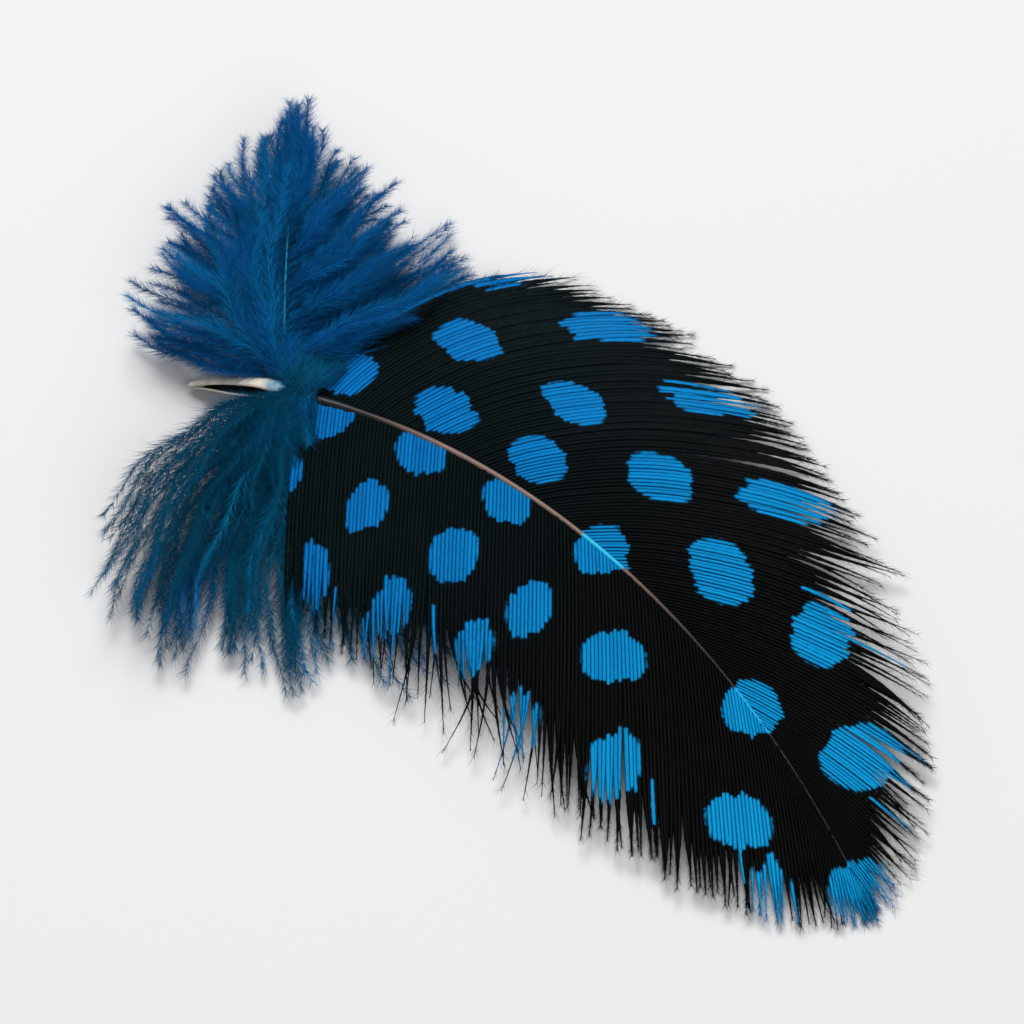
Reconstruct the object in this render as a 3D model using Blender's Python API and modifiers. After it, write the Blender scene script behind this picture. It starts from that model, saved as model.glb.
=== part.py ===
"""A dyed guinea fowl body feather, lying on a surface with its outer face up.

Metres, +Z up. The quill points to -X and the tip to +X, and the shaft bends to the right on its way to the
tip. The feather grew as one piece, so it is one solid: the shaft, the vane that fans from both sides of it,
the downy locks at its foot and the small downy afterfeather that grows from the same place.
"""

import math

import bmesh
import bpy
from mathutils import Vector

# The shaft, from the cut end of the quill to the tip of the rachis. A station is a length along it from that
# end.
SHAFT_LENGTH = 0.0650
QUILL_END = Vector((-0.02779, -0.00402, 0.00052))
HEADING_AT_QUILL = math.radians(30.0)
TURN = math.radians(54.0)
TURN_POWER = 0.80
PAST_TIP = 1.10
ARCH_HEIGHT = 0.0046
ARCH_SKEW = 0.80
ARCH_FULLNESS = 0.90
TIP_DROP = 0.00025
QUILL_RADIUS = 0.00085
QUILL_END_SHARE = 0.42
QUILL_TAPER_SHARE = 0.12
RACHIS_RADIUS = 0.00036
RACHIS_TIP_RADIUS = 0.00018
SHAFT_STEP = 0.0005
SHAFT_RINGS = 27

# The vane: its barbs leave the shaft between two stations and end on one egg-shaped outline. What differs
# between the two sides is given for the left, 1, and the right, -1.
VANE_START = 0.0088
VANE_END = 0.0690
VANE_WIDEST = 0.0290
HALF_WIDTH = {1: 0.0203, -1: 0.0170}
TIP_ROUNDNESS = {1: 1.4, -1: 2.3}
TIP_FULLNESS = {1: 0.65, -1: 0.50}
FOOT_ROUNDNESS = 2.0
FOOT_WIDTH_SHARE = 0.80
VANE_THICKNESS = 0.00055
VANE_SLOPE = 1.8
SLOPE_REACH = 0.0200

# The angle between a barb and the shaft, in degrees, and how it closes along the barb.
BARB_ANGLE_AT_FOOT = 76.0
BARB_ANGLE_AT_TIP = 10.0
BARB_ANGLE_POWER = 1.0
BARB_CLOSING = 0.38
BARB_CLOSED_AT = 0.026
BARB_STEP = 0.0004
MOST_BARB_STEPS = 120

# The rows of barbs that the solid vane is made of. Every other row is raised, and ends in a tooth of the
# margin. The ridges fade out over the last rows, which lie close together at the tip.
LOCKS_PER_VANE = 22
ROW_SPACING_POWER = 1.25
BARB_COLUMNS = 7
NOTCH_SHARE = 0.93
RIDGE_HEIGHT = 0.00014
FLAT_TIP_ROWS = 8

# A downy lock: a flat tuft, narrow at its root, full in its middle and drawn to a point.
LOCK_POINTS = 7
LOCK_SIDES = 6
LOCK_HALF_WIDTH = 0.0021
LOCK_FLATNESS = 0.38
LOCK_ROOT_SIZE = 0.24
LOCK_MIDDLE_SIZE = 0.90
LOCK_POINT_SIZE = 0.05
LOCK_FULLEST_POWER = 0.80
LOWEST_LOCK = 0.0001
LAYER_HEIGHT = 0.0006
GOLDEN_SHARE = 0.618034

# The locks at the foot of the vane, from the quill on. Angles are in degrees from the shaft's direction. What
# differs between the two sides is given for the left, 1, and the right, -1. The lock roots of one side lie
# between those of the other.
DOWN_START = 0.0074
DOWN_END = 0.0190
DOWN_LOCKS_PER_SIDE = 14
DOWN_STAGGER = {1: 0.25, -1: 0.75}
DOWN_LAYER_SEED = {1: 2, -1: 11}
DOWN_LENGTH = {1: 0.0190, -1: 0.0230}
DOWN_SHORTENING = 0.10
DOWN_FIRST_ANGLE = {1: 138.0, -1: 126.0}
DOWN_LAST_ANGLE = {1: 62.0, -1: 54.0}
DOWN_ANGLE_SPREAD = 7.0
DOWN_RISE = 24.0
DOWN_RISE_SPREAD = 16.0
DOWN_SAG = 44.0
UNDER_VANE_FROM = 0.0112
UNDER_VANE_RISE = -9.0
UNDER_VANE_SAG = 10.0
UNDER_VANE_DROP = 0.0006
DOWN_BEND = 40.0
DOWN_BEND_SPREAD = 9.0
LENGTH_SPREAD = 0.12

# The afterfeather: a thin shaft of its own to the left of the quill, with downy locks on both sides.
AFTERSHAFT_LENGTH = 0.0180
AFTERSHAFT_RADIUS = 0.0003
AFTERSHAFT_TAPER = 0.5
AFTERSHAFT_DROP = 0.0003
AFTERSHAFT_ANGLE = 111.0
AFTERSHAFT_RISE = 20.0
AFTERSHAFT_SAG = 34.0
AFTERSHAFT_BEND = -5.0
AFTER_LOCKS_PER_SIDE = 9
AFTER_STAGGER = {1: 0.3, -1: 0.8}
AFTER_LAYER_SEED = {1: 17, -1: 29}
AFTER_FIRST_PLACE = 0.06
AFTER_LAST_PLACE = 0.96
AFTER_LOCK_SIZE = 0.9
AFTER_LENGTH = 0.0125
AFTER_SHORTENING = 0.15
AFTER_FIRST_ANGLE = 82.0
AFTER_LAST_ANGLE = 26.0
AFTER_ANGLE_SPREAD = 8.0
AFTER_RISE = 8.0
AFTER_RISE_SPREAD = 20.0
AFTER_SAG = 36.0
AFTER_BEND = 20.0

WELD_DISTANCE = 0.00001


def clear_scene():
    for old in list(bpy.data.objects):
        bpy.data.objects.remove(old)


def new_collection(name):
    made = bpy.data.collections.new(name)
    bpy.context.scene.collection.children.link(made)
    return made


def feather_material():
    made = bpy.data.materials.new("dyed_feather")
    made.use_nodes = True
    shader = made.node_tree.nodes["Principled BSDF"]
    shader.inputs["Base Color"].default_value = (0.010, 0.140, 0.330, 1.0)
    shader.inputs["Roughness"].default_value = 0.55
    shader.inputs["Metallic"].default_value = 0.0
    return made


def between(low, high, share):
    return low + (high - low) * share


def clamped(value):
    return min(max(value, 0.0), 1.0)


def spread(index):
    """A value from -1 to 1 that differs from one lock to the next without repeating."""
    return 2.0 * ((index * GOLDEN_SHARE) % 1.0) - 1.0


def heading_at(station):
    """The shaft's direction seen from above, as an angle from +X. It bends most near the quill."""
    share = min(max(station / SHAFT_LENGTH, 0.0), PAST_TIP)
    return HEADING_AT_QUILL - TURN * share**TURN_POWER


def shaft_table():
    """Points along the shaft seen from above, a step apart, to a little past its tip."""
    point = Vector((QUILL_END.x, QUILL_END.y))
    table = [point.copy()]
    for k in range(int(PAST_TIP * SHAFT_LENGTH / SHAFT_STEP)):
        heading = heading_at((k + 0.5) * SHAFT_STEP)
        point += SHAFT_STEP * Vector((math.cos(heading), math.sin(heading)))
        table.append(point.copy())
    return table


SHAFT_TABLE = shaft_table()


def arch_at(station):
    """The height of the shaft's middle: it rises from the quill, and comes down to the surface at the tip."""
    share = clamped(station / VANE_END)
    rise = math.sin(math.pi * share**ARCH_SKEW) ** ARCH_FULLNESS
    return QUILL_END.z + ARCH_HEIGHT * rise - TIP_DROP * share


def shaft_point(station):
    place = min(max(station / SHAFT_STEP, 0.0), len(SHAFT_TABLE) - 1.001)
    k = int(place)
    flat = SHAFT_TABLE[k].lerp(SHAFT_TABLE[k + 1], place - k)
    return Vector((flat.x, flat.y, arch_at(station)))


def shaft_radius(station):
    """A quill that narrows to its cut end, and a rachis that thins all the way to the tip."""
    if station < DOWN_START:
        return QUILL_RADIUS * between(QUILL_END_SHARE, 1.0, math.sin(math.pi / 2 * station / DOWN_START))
    share = (station - DOWN_START) / (SHAFT_LENGTH - DOWN_START)
    if share < QUILL_TAPER_SHARE:
        return between(QUILL_RADIUS, RACHIS_RADIUS, share / QUILL_TAPER_SHARE)
    return between(RACHIS_RADIUS, RACHIS_TIP_RADIUS, (share - QUILL_TAPER_SHARE) / (1.0 - QUILL_TAPER_SHARE))


def half_width(station, side):
    """How far the vane reaches from the shaft at this station: an egg shape, broadest near its foot."""
    if station >= VANE_WIDEST:
        share = clamped((station - VANE_WIDEST) / (VANE_END - VANE_WIDEST))
        return HALF_WIDTH[side] * (1.0 - share ** TIP_ROUNDNESS[side]) ** TIP_FULLNESS[side]
    share = (VANE_WIDEST - station) / (VANE_WIDEST - VANE_START)
    return HALF_WIDTH[side] * (1.0 - (1.0 - FOOT_WIDTH_SHARE) * share**FOOT_ROUNDNESS)


def barb_angle(station, share):
    """The angle between a barb and the shaft: wide at the foot, narrow at the tip, closing along the barb."""
    along = (station - VANE_START) / (SHAFT_LENGTH - VANE_START)
    at_root = between(BARB_ANGLE_AT_FOOT, BARB_ANGLE_AT_TIP, along**BARB_ANGLE_POWER)
    return math.radians(at_root) * (1.0 - BARB_CLOSING * share)


def barb_reach(station, side):
    """The barb's stations and distances from the shaft, a step apart, out to the vane's outline."""
    place, away, path = station, 0.0, [(station, 0.0)]
    while away < half_width(place, side) and place < VANE_END and len(path) < MOST_BARB_STEPS:
        angle = barb_angle(station, clamped(len(path) * BARB_STEP / BARB_CLOSED_AT))
        place += BARB_STEP * math.cos(angle)
        away += BARB_STEP * math.sin(angle)
        path.append((place, away))
    return path


def vane_point(station, away, side):
    """A point of the vane's middle surface, which slopes down from the shaft and ends flat on the floor."""
    base = shaft_point(station)
    heading = heading_at(station)
    past_table = max(station - (len(SHAFT_TABLE) - 1) * SHAFT_STEP, 0.0)
    along = Vector((math.cos(heading), math.sin(heading), 0.0)) * past_table
    across = Vector((-math.sin(heading), math.cos(heading), 0.0)) * side * away
    drop = (base.z - VANE_THICKNESS / 2) * clamped(away / SLOPE_REACH) ** VANE_SLOPE
    return base + across + along - Vector((0.0, 0.0, drop))


def barb_points(station, side, length_share, ridge):
    """Evenly spaced points of one barb, from the shaft to this share of its length, raised in its middle."""
    path = barb_reach(station, side)
    points = []
    for k in range(1, BARB_COLUMNS + 1):
        place = (len(path) - 1) * length_share * k / BARB_COLUMNS
        low = min(int(place), len(path) - 2)
        part = place - low
        at = between(path[low][0], path[low + 1][0], part)
        away = between(path[low][1], path[low + 1][1], part)
        lift = ridge * math.sin(math.pi * k / BARB_COLUMNS)
        points.append(vane_point(at, away, side) + Vector((0.0, 0.0, lift)))
    return points


def make_vane():
    """One sheet for both sides of the vane: rows of barbs in a chevron, with ridges and teeth.

    The last row is one line straight ahead of the shaft, which both sides share, so the tip is closed.
    """
    sheet = bmesh.new()
    rows = []
    count = 2 * LOCKS_PER_VANE + 1
    for i in range(count):
        station = between(VANE_START, SHAFT_LENGTH, (i / (count - 1)) ** ROW_SPACING_POWER)
        length_share = 1.0 if i % 2 else NOTCH_SHARE
        height = RIDGE_HEIGHT * clamped((count - 1 - i) / FLAT_TIP_ROWS)
        ridge = height if i % 2 else -height
        left = barb_points(station, 1, length_share, ridge)
        right = barb_points(station, -1, length_share, ridge)
        row = left[::-1] + [shaft_point(station)] + right
        rows.append([sheet.verts.new(point) for point in row])
    for low, high in zip(rows, rows[1:]):
        for j in range(len(low) - 1):
            sheet.faces.new((low[j], low[j + 1], high[j + 1], high[j]))
    ahead = [rows[-1][BARB_COLUMNS]]
    for k in range(1, BARB_COLUMNS + 1):
        station = between(SHAFT_LENGTH, VANE_END, k / BARB_COLUMNS)
        ahead.append(sheet.verts.new(vane_point(station, 0.0, 1)))
    last_left = rows[-1][BARB_COLUMNS::-1]
    last_right = rows[-1][BARB_COLUMNS:]
    for k in range(1, BARB_COLUMNS):
        sheet.faces.new((last_left[k + 1], last_left[k], ahead[k], ahead[k + 1]))
        sheet.faces.new((last_right[k], last_right[k + 1], ahead[k + 1], ahead[k]))
    sheet.faces.new((last_left[1], ahead[0], ahead[1]))
    sheet.faces.new((ahead[0], last_right[1], ahead[1]))
    sheet.normal_update()
    mesh = bpy.data.meshes.new("vane")
    sheet.to_mesh(mesh)
    sheet.free()
    vane = bpy.data.objects.new("vane", mesh)
    thicken = vane.modifiers.new("thickness", "SOLIDIFY")
    thicken.thickness = VANE_THICKNESS
    thicken.offset = 0.0
    return vane


def curve_object(name, points, radii, depth, section=None):
    """A POLY curve through the points, with a radius at each and its ends capped."""
    curve = bpy.data.curves.new(name, "CURVE")
    curve.dimensions = "3D"
    curve.twist_mode = "Z_UP"
    curve.use_fill_caps = True
    curve.bevel_resolution = 1
    if section:
        curve.bevel_mode = "OBJECT"
        curve.bevel_object = section
    else:
        curve.bevel_depth = depth
    spline = curve.splines.new("POLY")
    spline.points.add(len(points) - 1)
    for knot, point, radius in zip(spline.points, points, radii):
        knot.co = (*point, 1.0)
        knot.radius = radius
    return bpy.data.objects.new(name, curve)


def make_shaft():
    stations = [SHAFT_LENGTH * k / (SHAFT_RINGS - 1) for k in range(SHAFT_RINGS)]
    points = [shaft_point(station) for station in stations]
    radii = [shaft_radius(station) / QUILL_RADIUS for station in stations]
    return curve_object("shaft", points, radii, QUILL_RADIUS)


def lock_section():
    """The flat oval that every downy lock is swept from."""
    curve = bpy.data.curves.new("lock_section", "CURVE")
    curve.dimensions = "2D"
    spline = curve.splines.new("POLY")
    spline.points.add(LOCK_SIDES - 1)
    for k, knot in enumerate(spline.points):
        turn = 2 * math.pi * k / LOCK_SIDES
        across = LOCK_HALF_WIDTH * math.cos(turn)
        up = LOCK_HALF_WIDTH * LOCK_FLATNESS * math.sin(turn)
        knot.co = (across, up, 0.0, 1.0)
    spline.use_cyclic_u = True
    section = bpy.data.objects.new("lock_section", curve)
    section.hide_render = True
    return section


def lock_path(start, heading, rise, length, bend, sag, layer=0.5):
    """A lock's middle line. It sets off at this heading and rise, bends sideways and sags to its layer."""
    floor = LOWEST_LOCK + LOCK_HALF_WIDTH * LOCK_FLATNESS + LAYER_HEIGHT * layer
    step = length / (LOCK_POINTS - 1)
    points = [start.copy()]
    for k in range(1, LOCK_POINTS):
        share = (k - 0.5) / (LOCK_POINTS - 1)
        turned = heading + bend * share
        up = rise - sag * share
        flat = math.cos(up)
        point = points[-1] + step * Vector((flat * math.cos(turned), flat * math.sin(turned), math.sin(up)))
        point.z = max(point.z, floor)
        points.append(point)
    return points


def make_lock(name, points, size, section):
    """A tuft: narrow at its root, full in its middle and drawn to a point."""
    radii = []
    for k in range(len(points)):
        share = k / (len(points) - 1)
        middle = LOCK_MIDDLE_SIZE * math.sin(math.pi * share**LOCK_FULLEST_POWER)
        radii.append(size * (LOCK_ROOT_SIZE * (1.0 - share) + middle + LOCK_POINT_SIZE))
    return curve_object(name, points, radii, 0.0, section)


def down_lock_path(side, i):
    """One lock of the vane's foot: fluffed up beside the quill, and pressed down where the vane covers it."""
    share = (i + DOWN_STAGGER[side]) / DOWN_LOCKS_PER_SIDE
    station = between(DOWN_START, DOWN_END, share)
    under = clamped((station - DOWN_START) / (UNDER_VANE_FROM - DOWN_START))
    angle = between(DOWN_FIRST_ANGLE[side], DOWN_LAST_ANGLE[side], share) + DOWN_ANGLE_SPREAD * spread(i + 3)
    rise = between(DOWN_RISE + DOWN_RISE_SPREAD * spread(2 * i + 1), UNDER_VANE_RISE, under)
    sag = between(DOWN_SAG, UNDER_VANE_SAG, under)
    bend = DOWN_BEND + DOWN_BEND_SPREAD * spread(i)
    length = DOWN_LENGTH[side] * (1.0 + LENGTH_SPREAD * spread(3 * i)) * (1.0 - DOWN_SHORTENING * share)
    return lock_path(
        shaft_point(station) - Vector((0.0, 0.0, UNDER_VANE_DROP * under)),
        heading_at(station) + side * math.radians(angle),
        math.radians(rise),
        length,
        -side * math.radians(bend),
        math.radians(sag),
        (spread(5 * i + DOWN_LAYER_SEED[side]) + 1.0) / 2.0,
    )


def down_locks(section):
    made = []
    for side in (1, -1):
        for i in range(DOWN_LOCKS_PER_SIDE):
            made.append(make_lock(f"down_{side}_{i}", down_lock_path(side, i), 1.0, section))
    return made


def aftershaft_path():
    return lock_path(
        shaft_point(DOWN_START) - Vector((0.0, 0.0, AFTERSHAFT_DROP)),
        heading_at(DOWN_START) + math.radians(AFTERSHAFT_ANGLE),
        math.radians(AFTERSHAFT_RISE),
        AFTERSHAFT_LENGTH,
        math.radians(AFTERSHAFT_BEND),
        math.radians(AFTERSHAFT_SAG),
    )


def after_lock_path(stem, side, i):
    """One lock of the afterfeather, which leaves the small shaft towards its tip."""
    share = (i + AFTER_STAGGER[side]) / AFTER_LOCKS_PER_SIDE
    place = between(AFTER_FIRST_PLACE, AFTER_LAST_PLACE, share) * (len(stem) - 1)
    k = min(int(place), len(stem) - 2)
    along = stem[k + 1] - stem[k]
    angle = between(AFTER_FIRST_ANGLE, AFTER_LAST_ANGLE, share) + AFTER_ANGLE_SPREAD * spread(i + 5)
    return lock_path(
        stem[k].lerp(stem[k + 1], place - k),
        math.atan2(along.y, along.x) + side * math.radians(angle),
        math.radians(AFTER_RISE + AFTER_RISE_SPREAD * spread(2 * i + 4)),
        AFTER_LENGTH * (1.0 + LENGTH_SPREAD * spread(3 * i + 2)) * (1.0 - AFTER_SHORTENING * share),
        -side * math.radians(AFTER_BEND),
        math.radians(AFTER_SAG),
        (spread(5 * i + AFTER_LAYER_SEED[side]) + 1.0) / 2.0,
    )


def afterfeather(section):
    stem = aftershaft_path()
    radii = [1.0 - AFTERSHAFT_TAPER * k / len(stem) for k in range(len(stem))]
    made = [curve_object("aftershaft", stem, radii, AFTERSHAFT_RADIUS)]
    for side in (1, -1):
        for i in range(AFTER_LOCKS_PER_SIDE):
            path = after_lock_path(stem, side, i)
            made.append(make_lock(f"after_{side}_{i}", path, AFTER_LOCK_SIZE, section))
    return made


def as_mesh(source, collection):
    """The object's evaluated shape as a mesh object of its own, welded shut, and the source removed."""
    bpy.context.view_layer.update()
    graph = bpy.context.evaluated_depsgraph_get()
    mesh = bpy.data.meshes.new_from_object(source.evaluated_get(graph))
    work = bmesh.new()
    work.from_mesh(mesh)
    bmesh.ops.remove_doubles(work, verts=work.verts, dist=WELD_DISTANCE)
    bmesh.ops.recalc_face_normals(work, faces=work.faces)
    work.to_mesh(mesh)
    work.free()
    made = bpy.data.objects.new(source.name + "_solid", mesh)
    made.matrix_world = source.matrix_world
    bpy.data.objects.remove(source)
    collection.objects.link(made)
    return made


def main():
    clear_scene()
    feather_parts = new_collection("guinea_fowl_feather")
    guides = new_collection("joined_shapes")
    section = lock_section()
    guides.objects.link(section)
    sources = [make_vane(), *down_locks(section), *afterfeather(section)]
    for source in sources:
        guides.objects.link(source)
    for source in sources:
        joined = as_mesh(source, guides)
        joined.hide_render = True
        joined.display_type = "WIRE"
    shaft = make_shaft()
    feather_parts.objects.link(shaft)
    feather = as_mesh(shaft, feather_parts)
    bpy.data.objects.remove(section)
    feather.name = "feather"
    feather.data.materials.append(feather_material())
    union = feather.modifiers.new("grown together", "BOOLEAN")
    union.operation = "UNION"
    union.operand_type = "COLLECTION"
    union.collection = guides
    union.solver = "EXACT"


main()
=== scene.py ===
"""The looks of a dyed guinea fowl body feather: black barbs, round azure spots, blue down and an ivory quill.

Everything is mesh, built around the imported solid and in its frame, in metres. The shaft, the vane's outline,
the barbs' directions and the downy locks follow the same rules as the solid does.
"""

import math

import bpy
import numpy as np
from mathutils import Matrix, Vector


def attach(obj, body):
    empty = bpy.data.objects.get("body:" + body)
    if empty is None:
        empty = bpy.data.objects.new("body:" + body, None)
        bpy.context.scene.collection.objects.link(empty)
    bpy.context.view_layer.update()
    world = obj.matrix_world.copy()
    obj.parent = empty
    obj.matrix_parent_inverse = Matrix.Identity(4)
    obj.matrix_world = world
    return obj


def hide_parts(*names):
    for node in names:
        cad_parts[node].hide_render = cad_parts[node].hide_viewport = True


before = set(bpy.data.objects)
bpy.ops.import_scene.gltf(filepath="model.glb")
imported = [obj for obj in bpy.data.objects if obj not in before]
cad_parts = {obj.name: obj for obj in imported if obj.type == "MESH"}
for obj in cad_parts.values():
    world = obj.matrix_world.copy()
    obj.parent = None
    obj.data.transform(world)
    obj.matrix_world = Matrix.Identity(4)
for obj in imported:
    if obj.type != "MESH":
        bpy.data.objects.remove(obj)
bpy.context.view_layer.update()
BODY = "root"
NODE = "feather"
RANDOM = np.random.default_rng(27)

# The shaft, from the cut end of the quill to the tip of the rachis. A station is a length along it from that
# end.
SHAFT_LENGTH = 0.0650
QUILL_END = np.array((-0.02779, -0.00402, 0.00052))
HEADING_AT_QUILL = math.radians(30.0)
TURN = math.radians(54.0)
TURN_POWER = 0.80
PAST_TIP = 1.10
ARCH_HEIGHT = 0.0046
ARCH_SKEW = 0.80
ARCH_FULLNESS = 0.90
TIP_DROP = 0.00025
QUILL_RADIUS = 0.00085
QUILL_END_SHARE = 0.42
QUILL_TAPER_SHARE = 0.12
RACHIS_RADIUS = 0.00036
RACHIS_TIP_RADIUS = 0.00018
SHAFT_STEP = 0.0005

# The vane's outline and the barbs' angles, as in the solid. What differs between the two sides is given for
# the left, 1, and the right, -1.
VANE_START = 0.0088
VANE_END = 0.0690
VANE_WIDEST = 0.0290
HALF_WIDTH = {1: 0.0203, -1: 0.0170}
TIP_ROUNDNESS = {1: 1.4, -1: 2.3}
TIP_FULLNESS = {1: 0.65, -1: 0.50}
FOOT_ROUNDNESS = 2.0
FOOT_WIDTH_SHARE = 0.80
VANE_THICKNESS = 0.00055
VANE_SLOPE = 1.8
SLOPE_REACH = 0.0200
BARB_ANGLE_AT_FOOT = 76.0
BARB_ANGLE_AT_TIP = 10.0
BARB_ANGLE_POWER = 1.0
BARB_CLOSING = 0.38
BARB_CLOSED_AT = 0.026
BARB_STEP = 0.0004
MOST_BARB_STEPS = 120

# The downy locks and the afterfeather, by the solid's rules. Angles are in degrees.
DOWN_START = 0.0074
DOWN_END = 0.0190
DOWN_STAGGER = {1: 0.25, -1: 0.75}
DOWN_LAYER_SEED = {1: 2, -1: 11}
DOWN_LENGTH = {1: 0.0190, -1: 0.0230}
DOWN_SHORTENING = 0.10
DOWN_FIRST_ANGLE = {1: 138.0, -1: 126.0}
DOWN_LAST_ANGLE = {1: 62.0, -1: 54.0}
DOWN_ANGLE_SPREAD = 7.0
DOWN_RISE = 24.0
DOWN_RISE_SPREAD = 16.0
DOWN_SAG = 44.0
UNDER_VANE_FROM = 0.0112
UNDER_VANE_RISE = -9.0
UNDER_VANE_SAG = 10.0
UNDER_VANE_DROP = 0.0006
DOWN_BEND = 40.0
DOWN_BEND_SPREAD = 9.0
LENGTH_SPREAD = 0.12
LOCK_FLOOR = 0.0009
LAYER_HEIGHT = 0.0006
PILE_TOP = 0.0056
PILE_SOFTNESS = 0.3
AFTERSHAFT_LENGTH = 0.0180
AFTERSHAFT_RADIUS = 0.00013
AFTERSHAFT_TIP = 0.35
AFTERSHAFT_SIDES = 8
AFTERSHAFT_POINTS = 60
AFTERSHAFT_LAYER = 0.5
AFTERSHAFT_DROP = 0.0003
AFTERSHAFT_ANGLE = 111.0
AFTERSHAFT_RISE = 20.0
AFTERSHAFT_SAG = 34.0
AFTERSHAFT_BEND = -5.0
AFTER_STAGGER = {1: 0.3, -1: 0.8}
AFTER_LAYER_SEED = {1: 17, -1: 29}
AFTER_FIRST_PLACE = 0.06
AFTER_LAST_PLACE = 0.96
AFTER_LENGTH = 0.0125
AFTER_SHORTENING = 0.15
AFTER_FIRST_ANGLE = 82.0
AFTER_LAST_ANGLE = 26.0
AFTER_CLOSING_FROM = 0.50
AFTER_CLOSING = 0.80
AFTER_BLUNT_FROM = 0.60
AFTER_BLUNTNESS = 0.25
AFTER_ANGLE_SPREAD = 4.0
AFTER_RISE = 8.0
AFTER_RISE_SPREAD = 20.0
AFTER_SAG = 36.0
AFTER_BEND = 20.0
GOLDEN_SHARE = 0.618034

# The barbs of the vane, which the solid has as one sheet.
BARBS_PER_SIDE = 146
ROOT_CROWDING = 0.6
TIP_BARBS = 4
BARB_POINTS = 48
POINT_CROWDING = 0.92
ROOT_TABLE = 500
SHORTEST_BARB = 0.002
REACH_SPREAD = 0.014
FRAYED_REACH_SPREAD = 0.16
FLOOR_CLEARANCE = 0.00004
TOP_CLEARANCE = 0.00003
LEANING_FROM, LEANING_BY = 0.15, 0.75
FRAY_FROM = 0.58

# A barb is a ribbon with a raised ramus along its middle. Its profile is given as pairs: how far across it a
# point is, and how high. The ribbon is toothed by its barbules, laps over its neighbours and is thin at its
# free end.
RIBBON_PROFILE = ((-1.0, 0.0), (-0.30, 0.20), (0.0, 1.0), (0.30, 0.20), (1.0, 0.0), (0.0, -1.0))
RAMUS_HEIGHT = 0.00006
RAMUS_DEPTH = 0.00007
RAMUS_LOWERING = 0.55
FULL_RAMUS_WIDTH = 0.00020
RAMUS_WIDENING = 2.2
SHINGLE = 0.00003
RIBBON_OVERLAP = 1.28
THINNEST_RIBBON = 0.00003
EDGE_TEETH = 0.08
FREE_FROM = (0.84, 0.95)
FREE_TAPER = 0.10
FREE_NARROWING = 0.86
FREE_SOONER = 0.06
MOST_FRAYED = 4.0
PAST_END = 1.02

# How far the barbs stand above or below the vane's smooth surface.
WAVE_HEIGHT = 0.00010
WAVES_ALONG, WAVES_ACROSS = 520.0, 410.0
WAVES_FROM_SHAFT = 0.004
CURL_HEIGHT = 0.0011
CURL_FROM = 0.6
UNEVENNESS = 0.00002

# The barbules that stand free at the barbs' ends. Angles are in degrees, as a middle value and a spread.
FRINGE_HAIRS = 60
FRINGE_LENGTH = 0.00065
FRINGE_LENGTHS = (0.6, 1.2)
FRINGE_RADIUS = 0.000014
FRINGE_LEAN = (36.0, 8.0)
FRINGE_CURL = (22.0, 8.0)
FRINGE_ROLL = 0.35
FRINGE_ACROSS = 0.8
FRINGE_FROM = 0.90
FRAYED_FRINGE = 0.5
FULLY_FRAYED = 0.20
FRAYED_LENGTHENING = 2.0
DOWNY_BARBS = 14
DOWNY_FRINGE = 0.85
DOWNY_LENGTHENING = 1.3

# The down, whose barbs carry fine barbules on both sides.
DOWN_BARB_POINTS = 20
DOWN_CLUMPS = 30
DOWN_CROWDING = 1.40
OPEN_BARBS = {1: 4, -1: 5}
OPEN_SHARE = 0.5
COVERED_BARBS = 2
AFTER_CLUMPS = 24
AFTER_BARBS = 3
COVER_CLUMPS = 9
COVER_START = 0.0077
COVER_END = 0.0098
COVER_HEIGHT = 1.15
COVER_OVERLAP = 0.00045
COVER_OVERLAP_SPREAD = 0.5
COVER_BARBS = 3
COVER_LENGTH = {1: 0.0075, -1: 0.0125}
COVER_LENGTH_SPREAD = 0.3
COVER_SHORTENING = 0.45
COVER_FIRST_ANGLE = 124.0
COVER_LAST_ANGLE = 96.0
COVER_ANGLE_SPREAD = 8.0
COVER_RISE = 0.15
COVER_SAG = 0.75
COVER_LAYER = 1.0

# How the barbs of one lock differ from each other.
DOWN_FAN = 11.0
DOWN_FAN_CLOSING = 1.1
FAN_PLACES = (0.1, 0.9)
BARB_RISE_SPREAD = 0.12
BARB_LENGTH_SHARE = 0.95
OUTER_BARB_SHORTENING = 0.12
BARB_LENGTH_SPREAD = 0.07
BARB_BEND_SPREAD = 0.10
BARB_LAYER_SPREAD = 0.45
WAVE_WIDTH = 0.00028
WAVE_LENGTH = 0.0090
WAVE_SHIFT = 0.7
WAVES_FULL_BY = 0.4
SETTLED_BY = 0.5

# A down barb and its barbules, which are longest at its middle. Angles are as for the vane's fringe.
DOWN_RAMUS_RADIUS = 0.000034
DOWN_RAMUS_TIP = 0.3
DOWN_RAMUS_SIDES = 3
BARBULES = 400
BARBULES_FROM = 0.02
BARBULE_CROWDING = 0.9
BARBULE_RADIUS = 0.000019
BARBULE_LENGTH = 0.0019
BARBULE_LENGTHS = (0.7, 1.2)
BARBULE_LEAN = (37.0, 12.0)
BARBULE_CURL = (20.0, 8.0)
BARBULE_ROLL = 0.40
SHORT_BARBULE = 0.50
LONGEST_POWER = 0.75
ROOT_BARBULE = 0.35
ROOT_REACH = 0.16
HAIR_STEPS = 1
HAIR_SIDES = 3
HAIR_THINNING = 0.7
UP = np.array((0.0, 0.0, 1.0))


def clamped(value):
    return np.clip(value, 0.0, 1.0)


def between(low, high, share):
    return low + (high - low) * share


def smooth(low, high, value):
    share = clamped((value - low) / (high - low))
    return share * share * (3.0 - 2.0 * share)


def spread(index):
    """A value from -1 to 1 that differs from one lock to the next without repeating."""
    return 2.0 * ((index * GOLDEN_SHARE) % 1.0) - 1.0


def heading_at(station):
    share = np.clip(station / SHAFT_LENGTH, 0.0, PAST_TIP)
    return HEADING_AT_QUILL - TURN * share**TURN_POWER


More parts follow.
